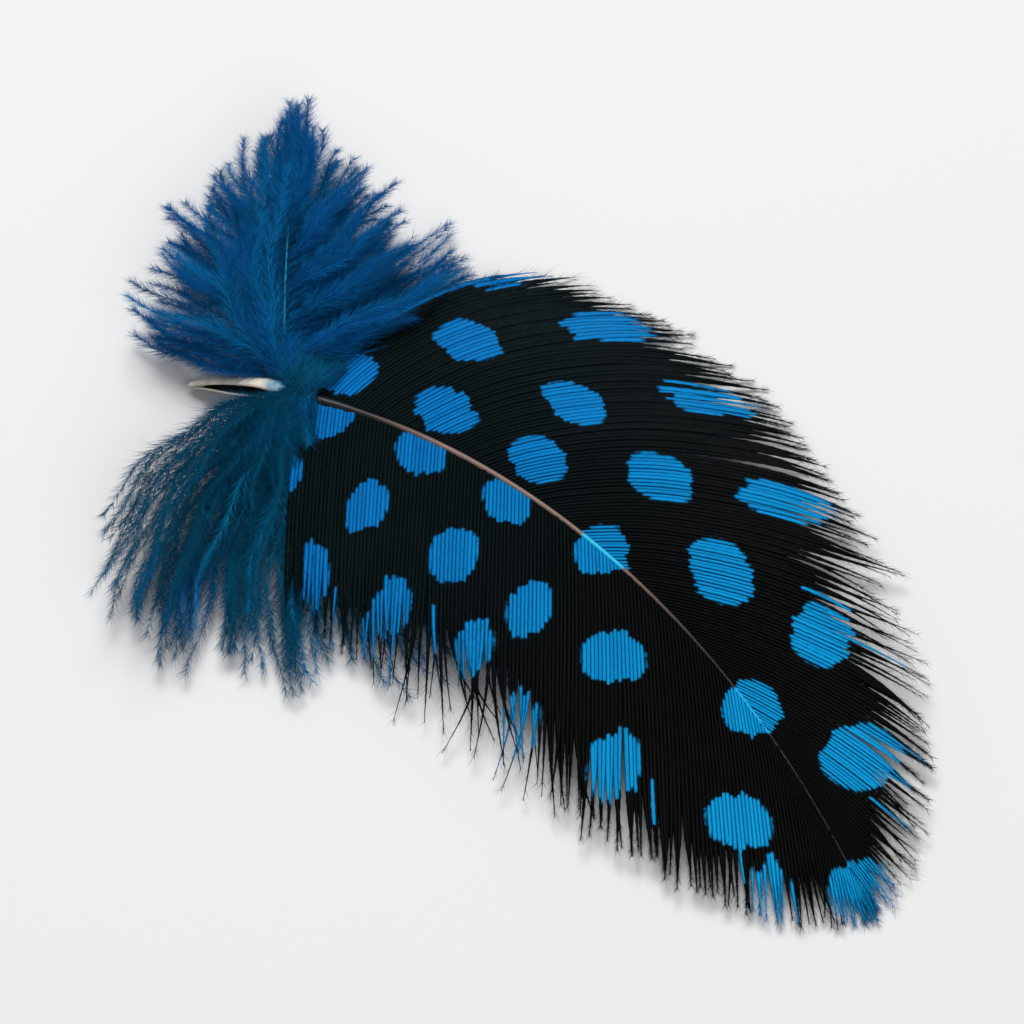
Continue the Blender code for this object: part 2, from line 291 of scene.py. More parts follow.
def shaft_table():
    """Points along the shaft seen from above, a step apart, to a little past its tip."""
    middles = (np.arange(int(PAST_TIP * SHAFT_LENGTH / SHAFT_STEP)) + 0.5) * SHAFT_STEP
    headings = heading_at(middles)
    steps = SHAFT_STEP * np.stack([np.cos(headings), np.sin(headings)], 1)
    return np.vstack([QUILL_END[:2], QUILL_END[:2] + np.cumsum(steps, 0)])


SHAFT_TABLE = shaft_table()
TABLE_STATIONS = np.arange(len(SHAFT_TABLE)) * SHAFT_STEP


def shaft_points(station):
    """Points of the shaft's middle line, which arches up from the quill and ends at the floor at the tip."""
    share = clamped(station / VANE_END)
    x = np.interp(station, TABLE_STATIONS, SHAFT_TABLE[:, 0])
    y = np.interp(station, TABLE_STATIONS, SHAFT_TABLE[:, 1])
    rise = np.maximum(np.sin(math.pi * share**ARCH_SKEW), 0.0) ** ARCH_FULLNESS
    return np.stack([x, y, QUILL_END[2] + ARCH_HEIGHT * rise - TIP_DROP * share], -1)


def shaft_radius(station):
    """A quill that narrows to its cut end, and a rachis that thins all the way to the tip."""
    filling = np.sin(math.pi / 2 * clamped(station / DOWN_START))
    at_quill = QUILL_RADIUS * between(QUILL_END_SHARE, 1.0, filling)
    share = clamped((station - DOWN_START) / (SHAFT_LENGTH - DOWN_START))
    taper = between(QUILL_RADIUS, RACHIS_RADIUS, clamped(share / QUILL_TAPER_SHARE))
    rest = clamped((share - QUILL_TAPER_SHARE) / (1.0 - QUILL_TAPER_SHARE))
    at_rachis = between(RACHIS_RADIUS, RACHIS_TIP_RADIUS, rest)
    return np.where(station < DOWN_START, at_quill, np.where(share < QUILL_TAPER_SHARE, taper, at_rachis))


def half_width(station, side):
    """How far the vane reaches from the shaft at this station: an egg shape, broadest near its foot."""
    beyond = clamped((station - VANE_WIDEST) / (VANE_END - VANE_WIDEST))
    before = clamped((VANE_WIDEST - station) / (VANE_WIDEST - VANE_START))
    tip_part = (1.0 - beyond ** TIP_ROUNDNESS[side]) ** TIP_FULLNESS[side]
    foot_part = 1.0 - (1.0 - FOOT_WIDTH_SHARE) * before**FOOT_ROUNDNESS
    return HALF_WIDTH[side] * np.where(station >= VANE_WIDEST, tip_part, foot_part)


def vane_points(station, away, side):
    """Points of the vane's middle surface, which slopes down from the shaft and ends flat on the floor."""
    base = shaft_points(station)
    heading = heading_at(station)
    past = np.maximum(station - TABLE_STATIONS[-1], 0.0)
    x = base[..., 0] + past * np.cos(heading) - side * away * np.sin(heading)
    y = base[..., 1] + past * np.sin(heading) + side * away * np.cos(heading)
    z = base[..., 2] - (base[..., 2] - VANE_THICKNESS / 2) * clamped(away / SLOPE_REACH) ** VANE_SLOPE
    return np.stack([x, y, z], -1)


def unit(vectors):
    return vectors / np.maximum(np.linalg.norm(vectors, axis=-1, keepdims=True), 1e-12)


def tangents(points):
    """The direction along each line of points. The lines run along the last axis but one."""
    return unit(np.gradient(points, axis=-2))


def lofted(rings, tips=None):
    """Closed bodies through rings of points: their vertices, and their faces as arrays of indices.

    The rings are shaped (bodies, rings, sides, 3). Each body is capped by a polygon at both ends, or drawn
    to a point where tips are given.
    """
    bodies, count, sides, _ = rings.shape
    grid = np.arange(bodies * count * sides).reshape(bodies, count, sides)
    following = np.roll(grid, -1, axis=2)
    quads = np.stack([grid[:, :-1], following[:, :-1], following[:, 1:], grid[:, 1:]], -1).reshape(-1, 4)
    faces = [quads, grid[:, 0, ::-1].reshape(-1, sides)]
    points = rings.reshape(-1, 3)
    if tips is None:
        faces.append(grid[:, -1].reshape(-1, sides))
    else:
        tip = np.arange(bodies)[:, None] + len(points)
        ends = np.stack([grid[:, -1], following[:, -1], np.broadcast_to(tip, (bodies, sides))], -1)
        faces.append(ends.reshape(-1, 3))
        points = np.vstack([points, tips])
    return points, faces


def merged(parts):
    """Several (vertices, faces, attributes) in one."""
    points, faces, start = [], [], 0
    values = {name: [] for name in parts[0][2]}
    for part_points, part_faces, part_values in parts:
        points.append(part_points)
        faces.extend(face + start for face in part_faces)
        for name, found in part_values.items():
            values[name].append(found)
        start += len(part_points)
    return np.vstack(points), faces, {name: np.concatenate(found) for name, found in values.items()}


def mesh_piece(name, points, faces, values, material):
    """A piece of the feather: a smooth mesh, with its values as attributes and a map from above."""
    mesh = bpy.data.meshes.new(name)
    corners = np.concatenate([face.reshape(-1) for face in faces])
    totals = np.concatenate([np.full(len(face), face.shape[1]) for face in faces])
    starts = np.concatenate([[0], np.cumsum(totals)[:-1]])
    mesh.vertices.add(len(points))
    mesh.vertices.foreach_set("co", points.astype(np.float32).ravel())
    mesh.loops.add(len(corners))
    mesh.loops.foreach_set("vertex_index", corners.astype(np.int32))
    mesh.polygons.add(len(totals))
    mesh.polygons.foreach_set("loop_start", starts.astype(np.int32))
    mesh.polygons.foreach_set("loop_total", totals.astype(np.int32))
    mesh.update(calc_edges=True)
    mesh.shade_smooth()
    for value_name, found in values.items():
        layer = mesh.attributes.new(value_name, "FLOAT", "POINT")
        layer.data.foreach_set("value", found.astype(np.float32))
    low, high = points.min(0), points.max(0)
    places = (points[:, :2] - low[:2]) / (high - low)[:2].max()
    mesh.uv_layers.new(name="OFBake").data.foreach_set("uv", places[corners].astype(np.float32).ravel())
    mesh.materials.append(material)
    piece = bpy.data.objects.new(name, mesh)
    bpy.context.scene.collection.objects.link(piece)
    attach(piece, BODY)
    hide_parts(NODE)
    return piece


# The round spots. They lie in bands across the feather, and each outer spot of a band lies further back than
# the last. Near the foot a band has a pair beside the shaft, and further out one on the shaft takes turns
# with a pair. One band has fewer spots on the right, further apart. FOOT_LEAN slants the line at the vane's
# foot that no spot lies before. A few barbs are blue near their ends.
FIRST_BAND = 0.0118
BAND_SPACING = 0.0079
BANDS = 9
PAIRED_BANDS = 3
PAIR_AWAY = {1: (0.0027, 0.0092, 0.0172), -1: (0.0013, 0.0067, 0.0128)}
CENTRE_AWAY = {1: (0.0, 0.0081, 0.0165), -1: (0.0, 0.0066, 0.0119)}
BETWEEN_AWAY = {1: (0.0050, 0.0138), -1: (0.0052, 0.0132)}
WIDE_BAND = 5
WIDE_AWAY = (0.0, 0.0108)
BACKWARD_SHIFT = 0.22
FOOT_LEAN = 0.22
SPOT_JITTER = 0.00035
SPOT_RADIUS_AT_FOOT = 0.00165
SPOT_RADIUS_AT_TIP = 0.00248
SPOT_SIZES = {1: 1.04, -1: 0.96}
SHAFT_SPOT_SIZE = 0.95
SPOT_SIZE_SPREAD = 0.07
SPOT_SQUEEZE = 0.10
SPOT_TILT = 0.22
SPOT_ROUNDNESS = 2.4
MARGIN_FROM, MARGIN_TO = 0.52, 0.92
MARGIN_STRETCH, MARGIN_NARROWING = 0.45, 0.38
NEAREST_MARGIN = 0.97
FAR_FROM_SPOTS = 9.0
SPOT_SLIP = 0.00022
SLIP_WAVES = (0.61, 0.23)
RAGGED_ENDS, RAGGED_MARGIN_ENDS = 0.00010, 0.00034
RAGGED_SIDES, RAGGED_MARGIN_SIDES = 0.00003, 0.00016
STREAKS = 9
STREAK_LENGTH = 0.0022
STREAK_LENGTHS = (0.5, 1.2)
STREAK_PLACES = (0.70, 0.92)
BLUE_EDGE_BARBS = 1
BLUE_EDGE = 0.99
BLUE_EDGE_ENDS = 4


def band_row(band, side):
    """The distances from the shaft of the spots that a band has on one side."""
    if band < PAIRED_BANDS:
        return PAIR_AWAY[side]
    if band == WIDE_BAND and side < 0:
        return WIDE_AWAY
    return BETWEEN_AWAY[side] if (band - PAIRED_BANDS) % 2 else CENTRE_AWAY[side]


def spot_places(side):
    """The spots of one side: the station, distance from the shaft and radius of each."""
    places = []
    for band in range(BANDS):
        for place, away in enumerate(band_row(band, side)):
            station = FIRST_BAND + BAND_SPACING * band - BACKWARD_SHIFT * away
            further_on = SPOT_JITTER * spread(band * 3 + place + 1)
            further_out = SPOT_JITTER * spread(band * 5 + place * 2 + side) if away > 0 else 0.0
            radius = between(SPOT_RADIUS_AT_FOOT, SPOT_RADIUS_AT_TIP, station / SHAFT_LENGTH)
            radius *= SPOT_SIZES[side] if away > 0 else SHAFT_SPOT_SIZE
            radius *= 1.0 + SPOT_SIZE_SPREAD * spread(band * 7 + place * 3 + side)
            on_vane = VANE_START + FOOT_LEAN * away < station < VANE_END
            if on_vane and away < NEAREST_MARGIN * half_width(np.array(station), side):
                places.append((station + further_on, away + further_out, radius))
    return np.array(places)


def barb_tracks(roots, root_angles, side, leaning, frayed, reach):
    """The barbs' stations and distances from the shaft, step by step, and how far each runs to the outline.

    A leaning barb turns as a whole, and a frayed one from the part of its reach where its hooks have let go.
    """
    place, away = roots.copy(), np.zeros_like(roots)
    places, aways = [place], [away]
    found = np.zeros_like(roots)
    growing = np.ones(len(roots), bool)
    for k in range(1, MOST_BARB_STEPS + 1):
        share = clamped(k * BARB_STEP / BARB_CLOSED_AT)
        angle = root_angles * (1.0 - BARB_CLOSING * share) + leaning * smooth(LEANING_FROM, LEANING_BY, share)
        angle = angle + frayed * smooth(FRAY_FROM, 1.0, k * BARB_STEP / reach)
        place = place + BARB_STEP * np.cos(angle)
        away = away + BARB_STEP * np.sin(angle)
        places.append(place)
        aways.append(away)
        growing &= (away < half_width(place, side)) & (place < VANE_END)
        found[growing] = k * BARB_STEP
    return np.stack(places, 1), np.stack(aways, 1), found


def resampled(values, reach, shares):
    """Each barb's values at these shares of its reach."""
    steps = np.arange(values.shape[1]) * BARB_STEP
    return np.stack([np.interp(shares * length, steps, row) for row, length in zip(values, reach)])


def spot_field(places, aways, side):
    """How far each point of each barb is from the nearest spot's middle, in spot radii: under 1 is inside it.

    A spot is round beside the shaft and long, narrow and streaky at the margin, where it follows the barbs.
    Each barb has its own small shift, so the edges step from barb to barb.
    """
    field = np.full(places.shape, FAR_FROM_SPOTS)
    count, points = places.shape
    order = np.arange(count)
    slip = SPOT_SLIP * np.sin(SLIP_WAVES[0] * order + side) * np.sin(SLIP_WAVES[1] * order)
    for station, away, radius in spot_places(side):
        gap = (places - station) ** 2 + (aways - away) ** 2
        i, k = np.unravel_index(gap.argmin(), gap.shape)
        k = min(max(k, 1), points - 2)
        way = unit(np.array((places[i, k + 1] - places[i, k - 1], aways[i, k + 1] - aways[i, k - 1])))
        margin = smooth(MARGIN_FROM, MARGIN_TO, away / half_width(np.array(station), side))
        along = (places - station) * way[0] + (aways - away) * way[1]
        across = (aways - away) * way[0] - (places - station) * way[1]
        tilt = SPOT_TILT * spread(1000.0 * station) if away > 0 else 0.0
        squeeze = 1.0 + SPOT_SQUEEZE * spread(1700.0 * station)
        ends = RANDOM.normal(0.0, RAGGED_ENDS + RAGGED_MARGIN_ENDS * margin, count)
        along = along + tilt * across + (slip + ends)[:, None]
        across = across + RANDOM.normal(0.0, RAGGED_SIDES + RAGGED_MARGIN_SIDES * margin, count)[:, None]
        long = radius * squeeze * (1.0 + MARGIN_STRETCH * margin)
        narrow = radius / squeeze * (1.0 - MARGIN_NARROWING * margin)
        rounded = np.abs(along / long) ** SPOT_ROUNDNESS + np.abs(across / narrow) ** SPOT_ROUNDNESS
        field = np.minimum(field, rounded ** (1.0 / SPOT_ROUNDNESS))
    for i in RANDOM.choice(count - TIP_BARBS, STREAKS, replace=False):
        middle = RANDOM.uniform(*STREAK_PLACES) * points
        reach = np.hypot(aways[i, -1], places[i, -1] - places[i, 0])
        gap = np.abs(np.arange(points) - middle) / points * reach
        field[i] = np.minimum(field[i], gap / (STREAK_LENGTH * RANDOM.uniform(*STREAK_LENGTHS)))
    if side > 0:
        field[:BLUE_EDGE_BARBS, BLUE_EDGE_ENDS:-BLUE_EDGE_ENDS] = BLUE_EDGE
    return field


# The splits in each side of the vane: the station they open at, how far they spread, and their angle.
SPLITS = {
    1: ((0.0250, 0.0022, 0.045), (0.0470, 0.0030, 0.055)),
    -1: ((0.0200, 0.0020, 0.070), (0.0365, 0.0028, 0.045)),
}
# Where the hooks have let go: the middle station of each stretch, its half length and how wildly it frays.
FRAYS = {
    1: ((0.0360, 0.0060, 0.10), (0.0620, 0.0110, 0.16)),
    -1: ((0.0225, 0.0075, 0.26), (0.0620, 0.0110, 0.14)),
}
FRAY_EVERYWHERE = 0.035
SPLIT_FAR_SIDE = 0.5
LEAN_SPREAD = 0.005
LEAN_WAVE = 0.012
LEAN_WAVES = (0.37, 0.11)
STEADY_TIP_BARBS = 30.0


def vane_roots():
    """Where the barbs of a side leave the shaft and at what angle: the narrower, the closer they stand."""
    stations = np.linspace(VANE_START, SHAFT_LENGTH, ROOT_TABLE)
    along = (stations - VANE_START) / (SHAFT_LENGTH - VANE_START)
    angles = np.radians(between(BARB_ANGLE_AT_FOOT, BARB_ANGLE_AT_TIP, along**BARB_ANGLE_POWER))
    crowd = np.cumsum(np.sin(angles) ** ROOT_CROWDING)
    even = np.linspace(crowd[0], crowd[-1], BARBS_PER_SIDE)
    closing = np.linspace(angles[-1], 0.0, TIP_BARBS + 1)[1:]
    roots = np.concatenate([np.interp(even, crowd, stations), np.full(TIP_BARBS, SHAFT_LENGTH)])
    return roots, np.concatenate([np.interp(even, crowd, angles), closing])


def looseness(roots, side):
    """How far each barb leans out of its place, and how wildly its end frays."""
    order = np.arange(len(roots))
    wave = LEAN_WAVE * np.sin(order * LEAN_WAVES[0] + side) * np.sin(order * LEAN_WAVES[1])
    lean = RANDOM.normal(0.0, LEAN_SPREAD, len(roots)) + wave
    for station, width, opening in SPLITS[side]:
        gap = (roots - station) / width
        lean += opening * np.where(gap < 0, 1.0, -SPLIT_FAR_SIDE) * np.exp(-np.abs(gap))
    fray = np.full(len(roots), FRAY_EVERYWHERE)
    for station, width, wildness in FRAYS[side]:
        fray += wildness * np.exp(-(((roots - station) / width) ** 2))
    return lean * clamped((len(roots) - order) / STEADY_TIP_BARBS), fray


def make_vane_side(side, material):
    """All the barbs of one side, each a closed ribbon with a ramus, and the loose hairs at their ends."""
    roots, angles = vane_roots()
    if side < 0:
        angles[-TIP_BARBS:] += angles[-TIP_BARBS - 1] / TIP_BARBS / 2
    lean, fray = looseness(roots, side)
    shares = np.linspace(0.0, 1.0, BARB_POINTS) ** POINT_CROWDING
    still = np.zeros_like(roots)
    steady = barb_tracks(roots, angles, side, still, still, still + 1.0)
    frayed = fray * RANDOM.normal(0.0, 1.0, len(roots))
    leaning = barb_tracks(roots, angles, side, lean, frayed, np.maximum(steady[2], BARB_STEP))
    uneven = RANDOM.normal(0.0, REACH_SPREAD + FRAYED_REACH_SPREAD * fray, len(roots))
    reach = np.maximum(steady[2] * (1.0 + uneven), SHORTEST_BARB)
    places, aways = (resampled(values, reach, shares) for values in steady[:2])
    even = vane_points(*(resampled(values, steady[2], shares) for values in steady[:2]), side)
    middle = vane_points(*(resampled(values, reach, shares) for values in leaning[:2]), side)
    forward = tangents(even)
    apart = np.gradient(even, axis=0)
    apart -= (apart * forward).sum(-1, keepdims=True) * forward
    half = 0.5 * np.linalg.norm(apart, axis=-1)
    forward = tangents(middle)
    upward = unit(UP - forward[..., 2:] * forward)
    beside = np.cross(upward, forward) * side
    loose = (fray / FRAY_EVERYWHERE - 1.0)[:, None]
    ends = RANDOM.uniform(*FREE_FROM, len(roots))[:, None] - FREE_SOONER * np.minimum(loose, MOST_FRAYED)
    narrowed = 1.0 - FREE_NARROWING * smooth(ends - FREE_TAPER, PAST_END, shares[None, :])
    teeth = 1.0 + EDGE_TEETH * np.where(np.arange(BARB_POINTS) % 2, 1.0, -1.0)
    wide = np.maximum(RIBBON_OVERLAP * half * narrowed * teeth, THINNEST_RIBBON)
    ridge = (1.0 - RAMUS_LOWERING * shares)[None, :]
    ridge = ridge * np.minimum(1.0, RAMUS_WIDENING * half / FULL_RAMUS_WIDTH)
    wave = WAVE_HEIGHT * np.sin(places * WAVES_ALONG + side) * np.sin(aways * WAVES_ACROSS + 1.0)
    wave *= smooth(0.0, WAVES_FROM_SHAFT, aways)
    curl = RANDOM.normal(0.0, 1.0, len(roots))[:, None] * CURL_HEIGHT * fray[:, None]
    curl = curl * smooth(CURL_FROM, 1.0, shares[None, :])
    middle[..., 2] += wave + curl + RANDOM.normal(0.0, UNEVENNESS, len(roots))[:, None]
    rings = []
    for a, h in RIBBON_PROFILE:
        height = h * ridge * (RAMUS_HEIGHT if h > 0 else RAMUS_DEPTH) + a * SHINGLE
        point = middle - (a * wide)[..., None] * beside + height[..., None] * upward
        point[..., 2] = np.maximum(point[..., 2], FLOOR_CLEARANCE + (h > 0) * TOP_CLEARANCE)
        rings.append(point)
    points, faces = lofted(np.stack(rings[::side], 2))
    lengths = shares[None, :] * reach[:, None]
    spots = spot_field(places, aways, side)
    count = len(RIBBON_PROFILE)
    chance = RANDOM.random(len(roots))
    across = np.abs([a for a, _ in RIBBON_PROFILE[::side]])

    def per_point(value):
        return np.repeat(np.broadcast_to(value, places.shape)[..., None], count, -1).reshape(-1)

    values = {
        "spot": per_point(spots),
        "across": np.tile(across, places.size),
        "length": per_point(1000.0 * lengths),
        "station": per_point(places / VANE_END),
        "chance": per_point(chance[:, None]),
    }
    lines = {"spot": spots, "station": places / VANE_END, "length": 1000.0 * lengths}
    fringe = vane_fringe(middle, lines, chance, fray)
    name = "vane_left" if side > 0 else "vane_right"
    return mesh_piece(name, *merged([(points, faces, values), fringe]), material)


def vane_fringe(paths, lines, chance, fray):
    """The barbules that stand free where the barbs' ends have come apart, longest where they fray most."""
    count = len(paths)
    downy = smooth(DOWNY_BARBS, 0.0, np.arange(count))
    start = FRINGE_FROM - FRAYED_FRINGE * smooth(FRAY_EVERYWHERE, FULLY_FRAYED, fray)
    start = np.minimum(start, 1.0 - DOWNY_FRINGE * downy)[:, None]
    place = np.sort(between(start, 1.0, RANDOM.random((count, FRINGE_HAIRS))), 1)
    longer = 1.0 + FRAYED_LENGTHENING * fray + DOWNY_LENGTHENING * downy
    length = FRINGE_LENGTH * longer[:, None] * RANDOM.uniform(*FRINGE_LENGTHS, place.shape)
    lean = np.radians(RANDOM.normal(*FRINGE_LEAN, place.shape))
    curl = np.radians(RANDOM.normal(*FRINGE_CURL, place.shape))
    points, faces, _ = hairs(paths, place, length, lean, curl, FRINGE_ROLL, FRINGE_RADIUS)
    rows, columns = np.arange(count)[:, None], np.round(place * (paths.shape[1] - 1)).astype(int)
    values = {name: both_kinds(line[rows, columns].reshape(-1)) for name, line in lines.items()}
    # The free hairs count as lying near a ribbon's edge, so inside a spot they also take part of the painted
    # gap shadow.
    values["across"] = np.full(len(points), FRINGE_ACROSS)
    values["chance"] = both_kinds(np.broadcast_to(chance[:, None], place.shape).reshape(-1))
    return points, faces, values


def lock_path(start, heading, rise, length, bend, sag, layer, count=DOWN_BARB_POINTS):
    """A barb's middle line, which sets off at this heading and rise, bends sideways and sags to its layer."""
    floor = LOCK_FLOOR + LAYER_HEIGHT * layer
    share = (np.arange(1, count) - 0.5) / (count - 1)
    turned = heading + bend * share
    up = rise - sag * share
    steps = np.stack([np.cos(up) * np.cos(turned), np.cos(up) * np.sin(turned), np.sin(up)], 1)
    points = np.vstack([start, start + np.cumsum(steps, 0) * length / (count - 1)])
    points[:, 2] -= (1.0 - PILE_SOFTNESS) * np.maximum(points[:, 2] - PILE_TOP, 0.0)
    lowest = np.minimum(floor, points[0, 2])
    settled = smooth(0.0, SETTLED_BY, np.linspace(0, 1, count))
    points[:, 2] = np.maximum(points[:, 2], between(lowest, floor, settled))
    return points


def lock_barbs(count, start, heading, rise, length, bend, sag, layer):
    """The barbs of one lock, which fan out from its root and draw together at its tip. Angles are radians."""
    barbs = []
    phase = RANDOM.uniform(0.0, 2.0 * math.pi)
    for k in range(count):
        fan = math.radians(DOWN_FAN) * (2.0 * (k + RANDOM.uniform(*FAN_PLACES)) / count - 1.0)
        off = RANDOM.uniform(-1.0, 1.0, 5)
        path = lock_path(
            start,
            heading + fan,
            rise + BARB_RISE_SPREAD * off[0],
            length * (BARB_LENGTH_SHARE - OUTER_BARB_SHORTENING * abs(fan) + BARB_LENGTH_SPREAD * off[1]),
            bend - DOWN_FAN_CLOSING * fan + BARB_BEND_SPREAD * off[2],
            sag,
            layer + BARB_LAYER_SPREAD * off[3],
        )
        along = np.linspace(0.0, 1.0, len(path))
        flat = np.cross(tangents(path), UP)
        turns = 2.0 * math.pi * along * length / WAVE_LENGTH + phase + WAVE_SHIFT * off[4]
        wave = np.sin(turns) * smooth(0.0, WAVES_FULL_BY, along)
        barbs.append(path + WAVE_WIDTH * wave[:, None] * flat)
    return barbs


def down_barbs(side):
    """The barbs of the downy locks on one side of the vane's foot. Few lie under the vane."""
    barbs = []
    for i in range(DOWN_CLUMPS):
        share = ((i + DOWN_STAGGER[side]) / DOWN_CLUMPS) ** DOWN_CROWDING
        station = between(DOWN_START, DOWN_END, share)
        under = clamped((station - DOWN_START) / (UNDER_VANE_FROM - DOWN_START))
        angle = between(DOWN_FIRST_ANGLE[side], DOWN_LAST_ANGLE[side], share)
        angle += DOWN_ANGLE_SPREAD * spread(i + 3)
        rise = between(DOWN_RISE + DOWN_RISE_SPREAD * spread(2 * i + 1), UNDER_VANE_RISE, under)
        length = DOWN_LENGTH[side] * (1.0 + LENGTH_SPREAD * spread(3 * i)) * (1.0 - DOWN_SHORTENING * share)
        start = shaft_points(np.array(station)) - UNDER_VANE_DROP * under * UP
        barbs += lock_barbs(
            OPEN_BARBS[side] if share < OPEN_SHARE else COVERED_BARBS,
            start,
            heading_at(station) + side * math.radians(angle),
            math.radians(rise),
            length,
            -side * math.radians(DOWN_BEND + DOWN_BEND_SPREAD * spread(i)),
            math.radians(between(DOWN_SAG, UNDER_VANE_SAG, under)),
            (spread(5 * i + DOWN_LAYER_SEED[side]) + 1.0) / 2.0,
        )
    return np.stack(barbs)


def cover_barbs():
    """Short tufts that grow on top of the quill's end and fall to both sides of it."""
    barbs = []
    for side in (1, -1):
        for i in range(COVER_CLUMPS):
            share = (i + DOWN_STAGGER[side]) / COVER_CLUMPS
            station = between(COVER_START, COVER_END, share)
            angle = between(COVER_FIRST_ANGLE, COVER_LAST_ANGLE, share)
            angle += COVER_ANGLE_SPREAD * spread(i + side)
            length = COVER_LENGTH[side] * (1.0 + COVER_LENGTH_SPREAD * spread(2 * i + side))
            length *= 1.0 - COVER_SHORTENING * share
            heading = heading_at(station) + side * math.radians(angle)
            start = shaft_points(np.array(station)) + COVER_HEIGHT * shaft_radius(np.array(station)) * UP
            overlap = COVER_OVERLAP * (1.0 + COVER_OVERLAP_SPREAD * spread(3 * i))
            start -= overlap * np.array((math.cos(heading), math.sin(heading), 0.0))
            bend = -side * math.radians(DOWN_BEND)
            barbs += lock_barbs(COVER_BARBS, start, heading, COVER_RISE, length, bend, COVER_SAG, COVER_LAYER)
    return np.stack(barbs)


def aftershaft_path():
    start = shaft_points(np.array(DOWN_START)) - AFTERSHAFT_DROP * UP
    heading = heading_at(DOWN_START) + math.radians(AFTERSHAFT_ANGLE)
    rise, sag = math.radians(AFTERSHAFT_RISE), math.radians(AFTERSHAFT_SAG)
    bend = math.radians(AFTERSHAFT_BEND)
    return lock_path(start, heading, rise, AFTERSHAFT_LENGTH, bend, sag, AFTERSHAFT_LAYER, AFTERSHAFT_POINTS)


def after_barbs(side, per_lock):
    """The barbs of the afterfeather's locks on one side, which leave the small shaft towards its tip."""
    stem = aftershaft_path()
    barbs = []
    for i in range(AFTER_CLUMPS):
        share = (i + AFTER_STAGGER[side]) / AFTER_CLUMPS
        k = int(between(AFTER_FIRST_PLACE, AFTER_LAST_PLACE, share) * (len(stem) - 2))
        along = stem[k + 1] - stem[k]
        angle = between(AFTER_FIRST_ANGLE, AFTER_LAST_ANGLE, share) + AFTER_ANGLE_SPREAD * spread(i + 5)
        angle *= 1.0 - AFTER_CLOSING * smooth(AFTER_CLOSING_FROM, 1.0, share)
        length = AFTER_LENGTH * (1.0 + LENGTH_SPREAD * spread(3 * i + 2)) * (1.0 - AFTER_SHORTENING * share)
        length *= 1.0 - AFTER_BLUNTNESS * smooth(AFTER_BLUNT_FROM, 1.0, share)
        barbs += lock_barbs(
            per_lock,
            stem[k] - AFTERSHAFT_RADIUS * UP,
            math.atan2(along[1], along[0]) + side * math.radians(angle),
            math.radians(AFTER_RISE + AFTER_RISE_SPREAD * spread(2 * i + 4)),
            length,
            -side * math.radians(AFTER_BEND),
            math.radians(AFTER_SAG),
            (spread(5 * i + AFTER_LAYER_SEED[side]) + 1.0) / 2.0,
        )
    return np.stack(barbs)


def tubes(paths, radii, sides=4):
    """Round rods along lines of points, shaped (rods, points, 3)."""
    forward = tangents(paths)
    beside = unit(np.cross(forward, UP))
    downward = np.cross(forward, beside)
    turns = 2 * math.pi * np.arange(sides) / sides
    ring = np.cos(turns)[:, None] * beside[..., None, :] + np.sin(turns)[:, None] * downward[..., None, :]
    return paths[..., None, :] + radii[..., None, None] * ring


def hairs(paths, place, length, lean, curl, roll, radius):
    """Fine pointed hairs that leave both sides of each line of points and curl forward.

    place, length, lean and curl have a row for each line. Also gives how far out each vertex is on its hair.
    """
    count, per_line = place.shape
    position = place * (paths.shape[1] - 1)
    low = np.minimum(position.astype(int), paths.shape[1] - 2)
    part = (position - low)[..., None]
    rows = np.arange(count)[:, None]
    root = paths[rows, low] * (1.0 - part) + paths[rows, low + 1] * part
    forward = unit(paths[rows, low + 1] - paths[rows, low])
    flat = unit(np.cross(forward, UP))
    normal = np.cross(flat, forward)
    hand = np.where(np.arange(per_line) % 2, 1.0, -1.0)[None, :]
    rolled = RANDOM.normal(0.0, roll, place.shape)
    outward = (hand * np.cos(rolled))[..., None] * flat + np.sin(rolled)[..., None] * normal
    points = [root]
    for k in range(HAIR_STEPS):
        angle = lean - curl * (k + 0.5) / HAIR_STEPS
        way = np.cos(angle)[..., None] * forward + np.sin(angle)[..., None] * outward
        points.append(points[-1] + way * (length / HAIR_STEPS)[..., None])
    lines = np.stack(points, 2).reshape(count * per_line, HAIR_STEPS + 1, 3)
    lines[..., 2] = np.maximum(lines[..., 2], FLOOR_CLEARANCE)
    thick = radius * np.append(np.linspace(1.0, HAIR_THINNING, HAIR_STEPS), 0.0)
    rings = tubes(lines, np.broadcast_to(thick, lines.shape[:2]), HAIR_SIDES)[:, :-1]
    points, faces = lofted(rings, lines[:, -1])
    share = np.repeat(np.arange(HAIR_STEPS) / HAIR_STEPS, HAIR_SIDES)
    return points, faces, np.concatenate([np.tile(share, len(lines)), np.ones(len(lines))])


def both_kinds(value):
    """One value per hair, for the points of all its rings and then for its tips."""
    return np.concatenate([np.repeat(value, HAIR_STEPS * HAIR_SIDES), value])


